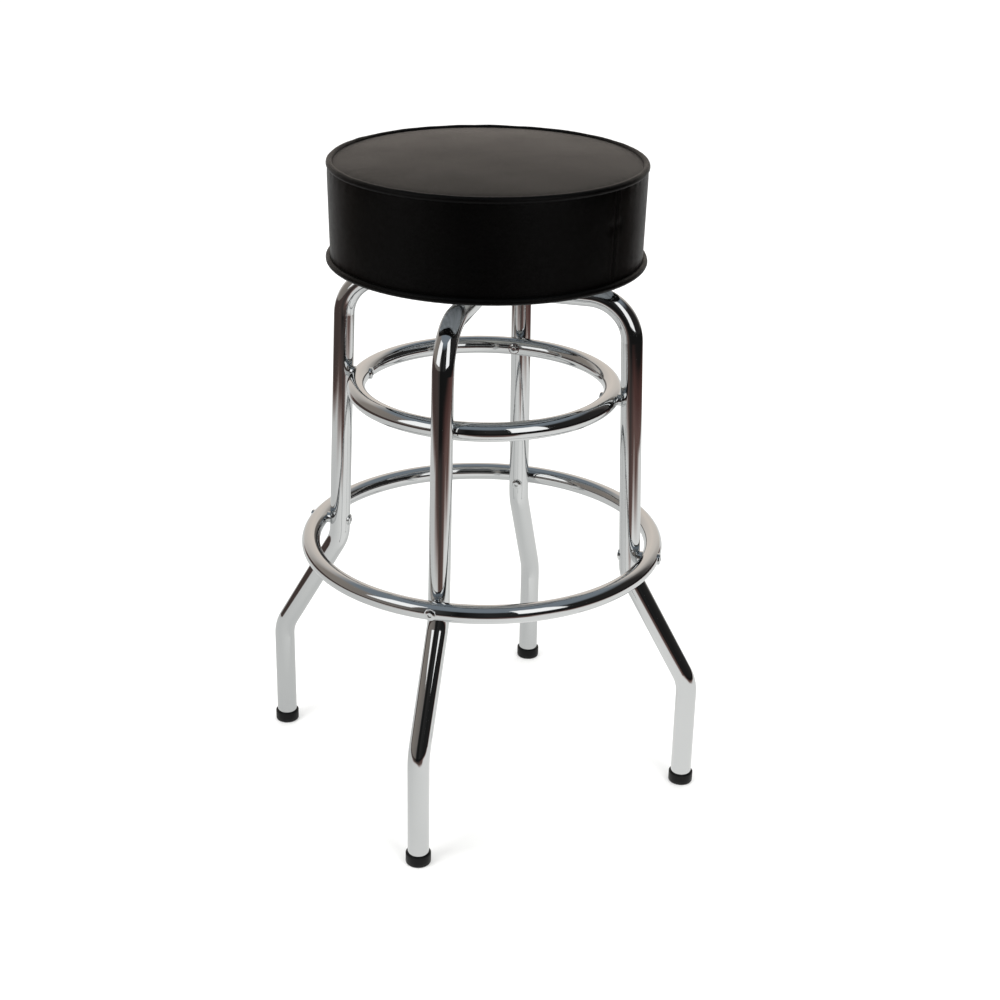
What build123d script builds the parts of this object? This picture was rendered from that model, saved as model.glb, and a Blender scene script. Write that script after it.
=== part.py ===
from build123d import *
import os
from functools import cache
from math import atan2, tan

# Swivel bar stool on four bent tube legs with two tube rings.
# Millimetres. The origin is on the floor under the swivel axis and +Z is up.
# The legs stand on the diagonals of X and Y.

# Leg tubes
leg_od = 25.4
leg_wall = 1.5
leg_bend_radius = 52.0  # tube centreline, the same at every bend
top_run_height = 627.0  # centreline of the level runs under the seat
top_run_inner = 28.0  # from the swivel axis to the inner end of a level run
kick_drop = 23.6  # from the foot ring's centreline down to the corner where a leg turns out
foot_corner_height = 142.1  # corner where a leg turns down again
foot_circle_radius = 266.2  # where the feet stand

# Rings
ring_od = 22.2
ring_wall = 1.5
brace_ring_radius = 153.5  # inside the legs
brace_ring_height = 503.5
foot_ring_radius = 211.5  # outside the legs
foot_ring_height = 304.3

# Foot caps
cap_wall = 2.3
cap_floor = 4.0
cap_height = 14.0
cap_edge = 2.6  # rounding at the floor
cap_lip = 0.8  # chamfer round the mouth

# Fasteners
bolt_d = 6.0
button_d = 12.0
button_height = 1.6
button_side = 0.6  # straight edge below the dome
cap_nut_d = 12.0
cap_nut_head = 1.8
cap_nut_barrel = 14.0  # how far the barrel goes into a leg
thread_end = 1.5  # bolt short of a cap nut's head or of a rivet nut's end
rivet_nut_d = 9.0
rivet_nut_collar_d = 12.5
rivet_nut_collar = 3.0
rivet_nut_length = 13.0
spacer_d = 14.0
spacer_web = 1.5  # thinnest part of a saddle spacer, between ring and leg
washer_web = 0.6  # thinnest part of a saddle washer
flat_washer = 1.2  # thickness

# Swivel
plate_side = 170.0
plate_corner = 16.0
plate_thickness = 2.5
hat_radius = 50.0  # flat middle of a pressed plate
hat_rise = 4.6
hat_run = 5.5  # width of the sloping wall round the middle
ball_d = 9.525
ball_count = 16
race_radius = 40.0
race_depth = 1.5
cage_width = 14.0
cage_thickness = 2.0
rivet_d = 16.0
rivet_bore = 9.0
rivet_head_d = 25.0
rivet_head = 2.0
leg_bolt_radii = (70.0, 100.0)
seat_screw_radius = 100.0
screw_head_d = 12.0
screw_head = 3.4
screw_head_edge = 1.7

# Seat
board_radius = 179.0
board_thickness = 12.0
board_edge = 1.5
tee_nut_flange_d = 19.0
tee_nut_flange = 1.5
tee_nut_d = 8.0
tee_nut_length = 9.0
cushion_radius = 182.4  # side band at the upper seam
cushion_depth = 103.3  # board's top to the upper seam
band_draw = 0.3  # how far the side band is drawn in at mid height
crown = 11.2  # top of the cushion above the upper seam
seam_rise = 0.6  # edge of the top panel above the welt's centre
vinyl = 1.2
welt_d = 5.0
lower_welt_rise = 0.9  # welt's centre above the board's underside
hem_width = 26.0

# Clearances, all on the radius or on one face
seat_fit = 0.05  # coped faces, caps and balls
running_fit = 0.05  # swivel rivet
thread_fit = 0.05
hole_fit = 0.25
cage_fit = 0.3
rivet_play = 0.3
ease = 0.3  # between soft pieces and what they cover

leg_angles = {"front_right": 315, "back_right": 45, "back_left": 135, "front_left": 225}

# Leg line: an upright that meets both rings through their spacers
leg_r = leg_od / 2
ring_r = ring_od / 2
bolt_r = bolt_d / 2
leg_at_brace = brace_ring_radius + ring_r + spacer_web + leg_r
leg_at_foot = foot_ring_radius - ring_r - spacer_web - leg_r
lean = (leg_at_foot - leg_at_brace) / (brace_ring_height - foot_ring_height)
kick_height = foot_ring_height - kick_drop

# Swivel levels
plate_bottom = top_run_height + leg_r
hat_top = plate_bottom + plate_thickness + hat_rise
ball_level = hat_top - race_depth + seat_fit + ball_d / 2
swivel_height = 2 * (ball_level - plate_bottom)

# Seat levels
board_bottom = plate_bottom + swivel_height
board_top = board_bottom + board_thickness
seam_height = board_top + cushion_depth
welt_r = welt_d / 2
upper_welt_radius = cushion_radius - vinyl
band_foot_radius = board_radius + ease + vinyl
lower_welt_radius = band_foot_radius + ease + welt_r


def upright_x(height):
    return leg_at_brace + lean * (brace_ring_height - height)


def upward(radius, x, bottom, top):
    return Pos(x, 0, bottom) * extrude(Circle(radius), top - bottom)


def outward(radius, start, end, height):
    return Pos(start, 0, height) * Rot(0, 90, 0) * extrude(Circle(radius), end - start)


def revolved(*lines):
    return revolve(Plane.XZ * make_face(lines), Axis.Z)


def at_legs(*pieces):
    return [Rot(0, 0, angle) * piece for angle in leg_angles.values() for piece in pieces]


def solids_of(shapes):
    return [solid for shape in shapes for solid in shape.solids()]


# Tubes


@cache
def leg_bar(radius):
    line = FilletPolyline(
        (foot_circle_radius, cap_floor),
        (foot_circle_radius, foot_corner_height),
        (upright_x(kick_height), kick_height),
        (upright_x(top_run_height), top_run_height),
        (top_run_inner, top_run_height),
        radius=leg_bend_radius,
    )
    return sweep(Pos(foot_circle_radius, 0, cap_floor) * Circle(radius), path=Plane.XZ * line)


def ring_bar(radius, height, section):
    return Pos(0, 0, height) * Torus(radius, section)


def leg_tube():
    tube = leg_bar(leg_r) - leg_bar(leg_r - leg_wall)
    tube -= outward(bolt_r + hole_fit, leg_at_foot, leg_at_foot + leg_od, foot_ring_height)
    nut_hole = rivet_nut_d / 2 + seat_fit
    tube -= outward(nut_hole, leg_at_foot - leg_od, leg_at_foot, foot_ring_height)
    tube -= outward(nut_hole, leg_at_brace - leg_od, leg_at_brace, brace_ring_height)
    for x in leg_bolt_radii:
        tube -= upward(nut_hole, x, top_run_height, top_run_height + leg_od)
    return tube


def ring_tube(radius, height):
    # A hoop of two half turns, drilled through at each leg
    section = Pos(radius, height) * (Circle(ring_r) - Circle(ring_r - ring_wall))
    half = revolve(Plane.XZ * section, Axis.Z, 180)
    hole = outward(bolt_r + hole_fit, radius - ring_od, radius + ring_od, height)
    for angle in leg_angles.values():
        if angle < 180:
            half -= Rot(0, 0, angle) * hole
    return half + Rot(0, 0, 180) * half


def foot_cap():
    bore = leg_r + seat_fit
    cap = upward(bore + cap_wall, foot_circle_radius, 0, cap_height)
    cap = fillet(cap.edges().filter_by(GeomType.CIRCLE).sort_by(Axis.Z)[0], cap_edge)
    cap = chamfer(cap.edges().filter_by(GeomType.CIRCLE).sort_by(Axis.Z)[-1], cap_lip)
    return cap - upward(bore, foot_circle_radius, cap_floor, cap_height)


# Fasteners, head at the origin and pointing up


def button_bolt(length):
    edge = button_d / 2
    dome = TangentArc((0, button_height), (edge, button_side), tangent=(1, 0))
    shank = Polyline(dome @ 1, (edge, 0), (bolt_r, 0), (bolt_r, -length), (0, -length), dome @ 0)
    return revolved(dome, shank)


def cap_nut():
    # Low round head on a barrel that takes the bolt's end
    edge = cap_nut_d / 2
    barrel = rivet_nut_d / 2
    thread = bolt_r + thread_fit
    blind = ease - thread_end
    dome = TangentArc((0, cap_nut_head), (edge, button_side), tangent=(1, 0))
    seat = Polyline(dome @ 1, (edge, 0), (barrel, 0), (barrel, -cap_nut_barrel))
    bore = Polyline(seat @ 1, (thread, -cap_nut_barrel), (thread, blind), (0, blind), dome @ 0)
    return revolved(dome, seat, bore)


def seat_screw(length):
    head = extrude(Circle(screw_head_d / 2), screw_head)
    head = fillet(head.edges().sort_by(Axis.Z)[-1], screw_head_edge)
    return head + extrude(Circle(bolt_r), -length)


# Ring joints, made on the +X leg


def rivet_nut(mouth):
    # Sleeve in the leg wall, its collar swelled against the inside of the tube
    barrel = mouth * extrude(Circle(rivet_nut_d / 2), -rivet_nut_length)
    collar = mouth * extrude(Circle(rivet_nut_collar_d / 2), -leg_wall - rivet_nut_collar)
    thread = mouth * extrude(Circle(bolt_r + thread_fit), rivet_nut_length, both=True)
    return (barrel & leg_bar(leg_r)) + (collar & leg_bar(leg_r - leg_wall - seat_fit)) - thread


def brace_joint():
    leg = leg_bar(leg_r + seat_fit)
    ring = ring_bar(brace_ring_radius, brace_ring_height, ring_r + seat_fit)
    hole = outward(bolt_r + hole_fit, brace_ring_radius - ring_od, leg_at_brace, brace_ring_height)
    spacer = outward(spacer_d / 2, brace_ring_radius, leg_at_brace, brace_ring_height) - ring - leg - hole
    head_seat = brace_ring_radius - ring_r - washer_web
    washer = outward(spacer_d / 2, head_seat, brace_ring_radius, brace_ring_height) - ring - hole
    wall = leg_at_brace - leg_r
    nut = rivet_nut(Pos(wall, 0, brace_ring_height) * Rot(0, -90, 0))
    length = wall + rivet_nut_length - thread_end - head_seat
    bolt = Pos(head_seat, 0, brace_ring_height) * Rot(0, -90, 0) * button_bolt(length)
    return {"spacers": [spacer], "washers": [washer], "bolts": [bolt], "rivet_nuts": [nut]}


def foot_joint():
    leg = leg_bar(leg_r + seat_fit)
    ring = ring_bar(foot_ring_radius, foot_ring_height, ring_r + seat_fit)
    hole = outward(bolt_r + hole_fit, leg_at_foot - leg_od, foot_ring_radius + ring_od, foot_ring_height)
    spacer = outward(spacer_d / 2, leg_at_foot, foot_ring_radius, foot_ring_height) - ring - leg - hole
    head_seat = foot_ring_radius + ring_r + washer_web
    nut_seat = leg_at_foot - leg_r - washer_web
    head_washer = outward(spacer_d / 2, foot_ring_radius, head_seat, foot_ring_height) - ring - hole
    nut_washer = outward(spacer_d / 2, nut_seat, leg_at_foot, foot_ring_height) - leg
    nut_washer -= outward(rivet_nut_d / 2 + hole_fit, nut_seat, leg_at_foot, foot_ring_height)
    length = head_seat - nut_seat - thread_end
    bolt = Pos(head_seat, 0, foot_ring_height) * Rot(0, 90, 0) * button_bolt(length)
    nut = Pos(nut_seat, 0, foot_ring_height) * Rot(0, -90, 0) * cap_nut()
    return {"spacers": [spacer], "washers": [head_washer, nut_washer], "bolts": [bolt], "cap_nuts": [nut]}


# Swivel


def pressed_plate(hole_radius):
    slope = atan2(hat_rise, hat_run)
    inset = plate_thickness * tan(slope / 2)
    hat_foot = hat_radius + hat_run
    top = plate_thickness + hat_rise
    flange = extrude(RectangleRounded(plate_side, plate_side, plate_corner), plate_thickness)
    hat = revolved(
        Polyline(
            (hole_radius, hat_rise),
            (hole_radius, top),
            (hat_radius, top),
            (hat_foot, plate_thickness),
            (hat_foot + plate_thickness, plate_thickness),
            (hat_foot + plate_thickness, 0),
            (hat_foot - inset, 0),
            (hat_radius - inset, hat_rise),
            close=True,
        )
    )
    race = Pos(0, 0, ball_level - plate_bottom) * Torus(race_radius, ball_d / 2 + seat_fit)
    return flange - extrude(Circle(hat_foot + plate_thickness / 2), plate_thickness) + hat - race


def lower_plate():
    plate = Pos(0, 0, plate_bottom) * pressed_plate(rivet_d / 2 + seat_fit)
    for x in leg_bolt_radii:
        for hole in at_legs(upward(bolt_r + hole_fit, x, plate_bottom, hat_top)):
            plate -= hole
    return plate


def at_screws(piece):
    return [Rot(0, 0, 90 * turn) * piece for turn in range(4)]


def upper_plate():
    plate = Pos(0, 0, board_bottom) * Rot(180, 0, 45) * pressed_plate(rivet_d / 2 + running_fit)
    for hole in at_screws(upward(bolt_r + hole_fit, seat_screw_radius, ball_level, board_bottom)):
        plate -= hole
    return plate


def around_race(piece):
    return [Rot(0, 0, 360 * turn / ball_count) * piece for turn in range(ball_count)]


def balls():
    return around_race(Pos(race_radius, 0, ball_level) * Sphere(ball_d / 2))


def cage():
    outer = race_radius + cage_width / 2
    ring = extrude(Circle(outer) - Circle(outer - cage_width), cage_thickness / 2, both=True)
    pocket = Pos(race_radius, 0) * extrude(Circle(ball_d / 2 + cage_fit), cage_thickness, both=True)
    for cut in around_race(pocket):
        ring -= cut
    return Pos(0, 0, ball_level) * ring


def swivel_rivet():
    bore = rivet_bore / 2
    shank = rivet_d / 2
    head = rivet_head_d / 2
    shoulder = (shank + head) / 2
    lower_seat = hat_top - plate_thickness
    upper_hat = 2 * ball_level - hat_top
    upper_seat = upper_hat + plate_thickness + rivet_play
    return revolved(
        Polyline(
            (bore, lower_seat - rivet_head),
            (head, lower_seat - rivet_head),
            (head, lower_seat),
            (shank, lower_seat),
            (shank, hat_top),
            (shoulder, hat_top),
            (shoulder, upper_hat - rivet_play),
            (shank, upper_hat - rivet_play),
            (shank, upper_seat),
            (head, upper_seat),
            (head, upper_seat + rivet_head),
            (bore, upper_seat + rivet_head),
            close=True,
        )
    )


def leg_fastenings():
    # Bolts from the top of the lower plate into rivet nuts in the level runs
    washer_seat = plate_bottom + plate_thickness
    head_seat = washer_seat + flat_washer
    length = head_seat - plate_bottom + rivet_nut_length - thread_end
    group = {"bolts": [], "washers": [], "rivet_nuts": []}
    for x in leg_bolt_radii:
        hole = upward(bolt_r + hole_fit, x, washer_seat, head_seat)
        group["washers"].append(upward(spacer_d / 2, x, washer_seat, head_seat) - hole)
        group["bolts"].append(Pos(x, 0, head_seat) * button_bolt(length))
        group["rivet_nuts"].append(rivet_nut(Pos(x, 0, plate_bottom)))
    return group


# Seat


def seat_board():
    board = upward(board_radius, 0, board_bottom, board_top)
    board = fillet(board.edges().filter_by(GeomType.CIRCLE), board_edge)
    hole = upward(tee_nut_d / 2 + seat_fit, seat_screw_radius, board_bottom, board_top)
    flange_seat = board_top - tee_nut_flange
    recess = upward(tee_nut_flange_d / 2 + seat_fit, seat_screw_radius, flange_seat, board_top)
    for cut in at_screws(hole + recess):
        board -= cut
    return board


def tee_nut():
    flange_bottom = board_top - tee_nut_flange
    nut = upward(tee_nut_flange_d / 2, seat_screw_radius, flange_bottom, board_top)
    nut += upward(tee_nut_d / 2, seat_screw_radius, flange_bottom - tee_nut_length, flange_bottom)
    return nut - upward(bolt_r + thread_fit, seat_screw_radius, board_bottom, board_top)


def fitted_screw():
    head_seat = board_bottom - plate_thickness
    length = board_top - tee_nut_flange / 2 - head_seat
    return Pos(seat_screw_radius, 0, head_seat) * Rot(0, 180, 0) * seat_screw(length)


def welt(radius, height, room=0.0):
    return Pos(0, 0, height) * Torus(radius, welt_r + room)


def side_line(inset):
    mid_radius = (band_foot_radius + cushion_radius) / 2 - band_draw
    mid_height = (board_top + seam_height) / 2
    return ThreePointArc(
        (band_foot_radius - inset, board_top),
        (mid_radius - inset, mid_height),
        (cushion_radius - inset, seam_height),
    )


def crown_line(inset):
    rim = upper_welt_radius
    rim_height = seam_height + seam_rise - inset
    top = seam_height + crown - inset
    return TangentArc((0, top), (rim, rim_height), tangent=(1, 0))


def foam():
    inset = vinyl + ease
    side = side_line(inset)
    top = crown_line(inset)
    bottom = board_top + ease
    body = revolved(
        Polyline(top @ 0, (0, board_top), side @ 0),
        side,
        Line(side @ 1, top @ 1),
        top,
    )
    body -= upward(cushion_radius, 0, board_top, bottom)
    return body - welt(upper_welt_radius, seam_height, ease)


def top_panel():
    upper = crown_line(0)
    lower = crown_line(vinyl)
    panel = revolved(upper, Line(upper @ 1, lower @ 1), lower, Line(lower @ 0, upper @ 0))
    return panel - welt(upper_welt_radius, seam_height, ease)


def side_band():
    hem_end = band_foot_radius - hem_width
    low = board_bottom - ease - vinyl
    outer = side_line(0)
    inner = side_line(vinyl)
    edge = band_foot_radius - vinyl
    band = revolved(
        outer,
        Line(outer @ 1, inner @ 1),
        inner,
        Polyline(inner @ 0, (edge, low + vinyl), (hem_end, low + vinyl), (hem_end, low)),
        Polyline((hem_end, low), (band_foot_radius, low), outer @ 0),
    )
    return band - welt(upper_welt_radius, seam_height, ease)


def stool():
    brace = brace_joint()
    foot = foot_joint()
    legs = leg_fastenings()
    tube = leg_tube()
    cap = foot_cap()
    nodes = {
        "brace_ring": [ring_tube(brace_ring_radius, brace_ring_height)],
        "foot_ring": [ring_tube(foot_ring_radius, foot_ring_height)],
        "swivel_lower_plate": [lower_plate()],
        "swivel_upper_plate": [upper_plate()],
        "swivel_rivet": [swivel_rivet()],
        "bearing_balls": balls(),
        "ball_cage": [cage()],
        "seat_board": [seat_board()],
        "seat_tee_nuts": at_screws(tee_nut()),
        "seat_screws": at_screws(fitted_screw()),
        "seat_foam": [foam()],
        "seat_top_panel": [top_panel()],
        "seat_side_band": [side_band()],
        "upper_welt": [welt(upper_welt_radius, seam_height)],
        "lower_welt": [welt(lower_welt_radius, board_bottom + lower_welt_rise)],
    }
    for place, angle in leg_angles.items():
        nodes["leg_" + place] = [Rot(0, 0, angle) * tube]
        nodes["foot_cap_" + place] = [Rot(0, 0, angle) * cap]
    for prefix, group in (("brace_ring_", brace), ("foot_ring_", foot), ("leg_", legs)):
        for kind, pieces in group.items():
            nodes[prefix + kind] = at_legs(*pieces)
    return nodes


os.makedirs("parts", exist_ok=True)
for name, shapes in stool().items():
    solids = solids_of(shapes)
    shape = solids[0] if len(solids) == 1 else Compound(solids)
    export_step(shape, os.path.join("parts", name + ".step"))
    print(name, len(solids), round(shape.volume))
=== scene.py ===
import bpy
import bmesh
import math
import random
from mathutils import Matrix, Quaternion, Vector, noise


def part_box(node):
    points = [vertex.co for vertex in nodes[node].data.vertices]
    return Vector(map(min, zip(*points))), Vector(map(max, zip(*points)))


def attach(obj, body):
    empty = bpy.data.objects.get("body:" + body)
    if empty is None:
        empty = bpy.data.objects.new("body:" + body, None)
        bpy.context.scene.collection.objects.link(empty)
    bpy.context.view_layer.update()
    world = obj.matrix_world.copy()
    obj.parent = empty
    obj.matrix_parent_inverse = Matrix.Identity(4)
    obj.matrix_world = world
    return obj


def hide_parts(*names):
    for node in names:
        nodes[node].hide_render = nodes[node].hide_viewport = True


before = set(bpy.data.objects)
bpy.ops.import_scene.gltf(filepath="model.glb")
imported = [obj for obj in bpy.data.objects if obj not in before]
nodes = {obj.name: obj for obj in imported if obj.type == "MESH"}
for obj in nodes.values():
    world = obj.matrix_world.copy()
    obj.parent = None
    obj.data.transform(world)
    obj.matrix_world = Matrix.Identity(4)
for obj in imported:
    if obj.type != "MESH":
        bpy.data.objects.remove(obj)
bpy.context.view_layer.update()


# Sizes read from the frame

def hoopOf(node):  # centreline radius, height and section radius of a round hoop
    low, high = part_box(node)
    section = (high.z - low.z) / 2
    return high.x - section, (high.z + low.z) / 2, section


upperHoop, upperHoopHeight, hoopSection = hoopOf("upper_welt")
lowerHoop, lowerHoopHeight, _ = hoopOf("lower_welt")
braceRadius, braceHeight, ringSection = hoopOf("brace_ring")
footRadius, footHeight, _ = hoopOf("foot_ring")
boardBottom, boardTop = (corner.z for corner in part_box("seat_board"))
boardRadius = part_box("seat_board")[1].x
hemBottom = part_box("seat_side_band")[0].z

plump = {  # how the stuffed seat differs from its plain solids
    "section": 0.0040,  # piping with its cord, half its thickness
    "upperReach": 0.0006,
    "upperDrop": 0.0019,
    "lowerReach": 0.0006,
    "lowerRise": 0.0025,
    "seam": 0.0009,
    "foot": 0.0004,
}
weltSection = plump["section"]
upperWeltRadius = upperHoop + hoopSection + plump["upperReach"] - weltSection
upperWeltHeight = upperHoopHeight - plump["upperDrop"]
lowerWeltRadius = lowerHoop + hoopSection + plump["lowerReach"] - weltSection
lowerWeltHeight = lowerHoopHeight + plump["lowerRise"]
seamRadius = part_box("seat_side_band")[1].x + plump["seam"]
bandFoot = lowerHoop - hoopSection + plump["foot"]


# Node helpers

def wire(tree, source, target):
    tree.links.new(source, target)


def addNode(tree, kind, values=None, **settings):  # values go to sockets by name or number, links too
    made = tree.nodes.new(kind)
    for name, value in settings.items():
        setattr(made, name, value)
    for key, value in (values or {}).items():
        if isinstance(value, bpy.types.NodeSocket):
            wire(tree, value, made.inputs[key])
        else:
            made.inputs[key].default_value = value
    return made


def mathNode(tree, operation, *values):
    return addNode(tree, "ShaderNodeMath", dict(enumerate(values)), operation=operation).outputs[0]


def vectorNode(tree, operation, *values):
    return addNode(tree, "ShaderNodeVectorMath", dict(enumerate(values)), operation=operation).outputs


def rangeNode(tree, value, fromLow, fromHigh, toLow=0.0, toHigh=1.0):
    spread = {"Value": value, "From Min": fromLow, "From Max": fromHigh, "To Min": toLow, "To Max": toHigh}
    return addNode(tree, "ShaderNodeMapRange", spread).outputs["Result"]


def noiseNode(tree, point, scale, detail):
    look = {"Vector": point, "Scale": scale, "Detail": detail}
    return addNode(tree, "ShaderNodeTexNoise", look).outputs["Fac"]


def mixColor(tree, factor, first, second, blend="MIX"):  # plain colours come without alpha
    first, second = ((*color, 1) if isinstance(color, tuple) else color for color in (first, second))
    values = {0: factor, 6: first, 7: second}
    return addNode(tree, "ShaderNodeMix", values, data_type="RGBA", blend_type=blend).outputs[2]


def colorRamp(tree, factor, stops):  # stops are position: colour
    ramp = addNode(tree, "ShaderNodeValToRGB", {"Fac": factor})
    band = ramp.color_ramp.elements
    places = sorted(stops)
    band[0].position, band[1].position = places[0], places[-1]
    band[0].color, band[1].color = (*stops[places[0]], 1), (*stops[places[-1]], 1)
    for place in places[1:-1]:
        band.new(place).color = (*stops[place], 1)
    return ramp.outputs["Color"]


def newGroup(name, inputs, outputs):
    tree = bpy.data.node_groups.new(name, "ShaderNodeTree")
    for label, value in inputs.items():
        socket = tree.interface.new_socket(label, in_out="INPUT", socket_type="NodeSocketFloat")
        socket.default_value = value
    for label in outputs:
        tree.interface.new_socket(label, in_out="OUTPUT", socket_type="NodeSocketFloat")
    return tree, tree.nodes.new("NodeGroupInput").outputs, tree.nodes.new("NodeGroupOutput").inputs


def placeGroup(tree, group, values):
    return addNode(tree, "ShaderNodeGroup", values, node_tree=group).outputs


def objectPoint(tree):
    return addNode(tree, "ShaderNodeTexCoord").outputs["Object"]


# Effects that several finishes share

smudgeMarks = {"detail": 3.0, "finer": 11.0, "fineDetail": 2.0, "fineShare": 0.35, "spread": (0.45, 0.95)}


def smudgeGroup():  # finger marks and haze, as a roughness
    tree, given, result = newGroup("smudges", {"Scale": 30.0, "Least": 0.04, "Most": 0.12}, ["Roughness"])
    point = objectPoint(tree)
    broad = noiseNode(tree, point, given["Scale"], smudgeMarks["detail"])
    fineScale = mathNode(tree, "MULTIPLY", given["Scale"], smudgeMarks["finer"])
    fine = noiseNode(tree, point, fineScale, smudgeMarks["fineDetail"])
    both = mathNode(tree, "MULTIPLY_ADD", fine, smudgeMarks["fineShare"], broad)
    rough = rangeNode(tree, both, *smudgeMarks["spread"], given["Least"], given["Most"])
    wire(tree, rough, result["Roughness"])
    return tree


hairlineMarks = {"detail": 4.0, "spread": (0.62, 0.72)}


def scratchGroup():  # fine hairline marks, as a height
    tree, given, result = newGroup("hairlines", {"Scale": 260.0, "Stretch": 0.04}, ["Height"])
    stretch = addNode(tree, "ShaderNodeCombineXYZ", {"X": 1.0, "Y": 1.0, "Z": given["Stretch"]})
    drawn = vectorNode(tree, "MULTIPLY", objectPoint(tree), stretch.outputs[0])["Vector"]
    lines = noiseNode(tree, drawn, given["Scale"], hairlineMarks["detail"])
    wire(tree, rangeNode(tree, lines, *hairlineMarks["spread"]), result["Height"])
    return tree


hideMarks = {
    "bend": {"Scale": 160.0, "Detail": 2.0},  # noise that bends the pebbles out of shape
    "bendReach": 0.0016,
    "pebbleEdge": 0.22,
    "creaseDetail": 5.0,
    "creaseShare": 0.9,
}


def grainGroup():  # pebbled hide grain, as a height
    tree, given, result = newGroup("hideGrain", {"Scale": 780.0, "Crease": 70.0}, ["Height"])
    point = objectPoint(tree)
    bend = addNode(tree, "ShaderNodeTexNoise", {"Vector": point, **hideMarks["bend"]}).outputs["Color"]
    shifted = vectorNode(tree, "MULTIPLY_ADD", bend, [hideMarks["bendReach"]] * 3, point)["Vector"]
    cells = {"Vector": shifted, "Scale": given["Scale"]}
    edge = addNode(tree, "ShaderNodeTexVoronoi", cells, feature="DISTANCE_TO_EDGE").outputs["Distance"]
    pebble = rangeNode(tree, edge, 0.0, hideMarks["pebbleEdge"])
    crease = noiseNode(tree, point, given["Crease"], hideMarks["creaseDetail"])
    wire(tree, mathNode(tree, "MULTIPLY_ADD", crease, hideMarks["creaseShare"], pebble), result["Height"])
    return tree


dustMarks = {"scale": 220.0, "detail": 5.0, "spread": (0.35, 0.7)}


def dustGroup():  # what settles near the floor, as a mask
    tree, given, result = newGroup("floorDust", {"Top": 0.05, "Amount": 0.5}, ["Mask"])
    point = objectPoint(tree)
    height = addNode(tree, "ShaderNodeSeparateXYZ", {0: point}).outputs["Z"]
    low = rangeNode(tree, height, given["Top"], 0.0, 0.0, given["Amount"])
    patch = noiseNode(tree, point, dustMarks["scale"], dustMarks["detail"])
    patchy = rangeNode(tree, patch, *dustMarks["spread"])
    wire(tree, mathNode(tree, "MULTIPLY", low, patchy), result["Mask"])
    return tree


smudges, hairlines, hideGrain, floorDust = smudgeGroup(), scratchGroup(), grainGroup(), dustGroup()


# Finishes for the material slots of the record, by slot name

def newFinish(name):
    material = bpy.data.materials.new(name)
    material.use_nodes = True
    return material, material.node_tree, material.node_tree.nodes["Principled BSDF"]


def tintInto(tree, shader, factor, first, second):
    wire(tree, mixColor(tree, factor, first, second), shader.inputs["Base Color"])


def smudgeInto(tree, shader, values):
    wire(tree, placeGroup(tree, smudges, values)["Roughness"], shader.inputs["Roughness"])


def bumpInto(tree, shader, height, strength, distance):
    bump = addNode(tree, "ShaderNodeBump", {"Strength": strength, "Distance": distance, "Height": height})
    wire(tree, bump.outputs["Normal"], shader.inputs["Normal"])


chromePlate = {
    "tint": (0.66, 0.67, 0.67),
    "haze": (0.60, 0.61, 0.615),
    "cloud": (9.0, 2.0),  # scale and detail, as in the other finishes
    "smudges": {"Scale": 22.0, "Least": 0.035, "Most": 0.10},
    "dust": {"Top": 0.06, "Amount": 0.25},
    "hairlines": {"Scale": 420.0, "Stretch": 0.05},
    "hairlineShare": -0.012,
    "tubeRipple": (26.0, 1.0),
    "hardwareRipple": (90.0, 1.0),
    "bump": (1.0, 0.00004),  # strength and depth, as in the other finishes
}


def chromeFinish(name, ripple):
    material, tree, shader = newFinish(name)
    shader.inputs["Metallic"].default_value = 1.0
    rough = placeGroup(tree, smudges, chromePlate["smudges"])["Roughness"]
    dust = placeGroup(tree, floorDust, chromePlate["dust"])["Mask"]
    wire(tree, mathNode(tree, "ADD", rough, dust), shader.inputs["Roughness"])
    point = objectPoint(tree)
    cloud = noiseNode(tree, point, *chromePlate["cloud"])
    tintInto(tree, shader, cloud, chromePlate["tint"], chromePlate["haze"])
    wave = noiseNode(tree, point, *ripple)
    line = placeGroup(tree, hairlines, chromePlate["hairlines"])["Height"]
    relief = mathNode(tree, "MULTIPLY_ADD", line, chromePlate["hairlineShare"], wave)
    bumpInto(tree, shader, relief, *chromePlate["bump"])
    return material


vinylSkin = {
    "tint": (0.0005, 0.00045, 0.0004),
    "worn": (0.0009, 0.0008, 0.0007),
    "cloud": (26.0, 4.0),
    "gloss": 0.10,
    "smudges": {"Scale": 14.0, "Least": 0.32, "Most": 0.38},
    "grain": {"Scale": 760.0, "Crease": 60.0},
    "bump": (0.55, 0.00016),
}


def vinylFinish():
    material, tree, shader = newFinish("seatVinyl")
    shader.inputs["Specular IOR Level"].default_value = vinylSkin["gloss"]
    smudgeInto(tree, shader, vinylSkin["smudges"])
    cloud = noiseNode(tree, objectPoint(tree), *vinylSkin["cloud"])
    tintInto(tree, shader, cloud, vinylSkin["tint"], vinylSkin["worn"])
    grain = placeGroup(tree, hideGrain, vinylSkin["grain"])["Height"]
    bumpInto(tree, shader, grain, *vinylSkin["bump"])
    return material


rubberCap = {
    "tint": (0.005, 0.005, 0.0054),
    "dustTint": (0.05, 0.048, 0.045),
    "gloss": 0.2,
    "smudges": {"Scale": 60.0, "Least": 0.36, "Most": 0.52},
    "dust": {"Top": 0.006, "Amount": 0.55},
    "grain": {"Scale": 1600.0, "Crease": 300.0},
    "bump": (0.3, 0.00006),
}


def rubberFinish():
    material, tree, shader = newFinish("blackRubber")
    shader.inputs["Specular IOR Level"].default_value = rubberCap["gloss"]
    dust = placeGroup(tree, floorDust, rubberCap["dust"])["Mask"]
    tintInto(tree, shader, dust, rubberCap["tint"], rubberCap["dustTint"])
    smudgeInto(tree, shader, rubberCap["smudges"])
    grain = placeGroup(tree, hideGrain, rubberCap["grain"])["Height"]
    bumpInto(tree, shader, grain, *rubberCap["bump"])
    return material


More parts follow.
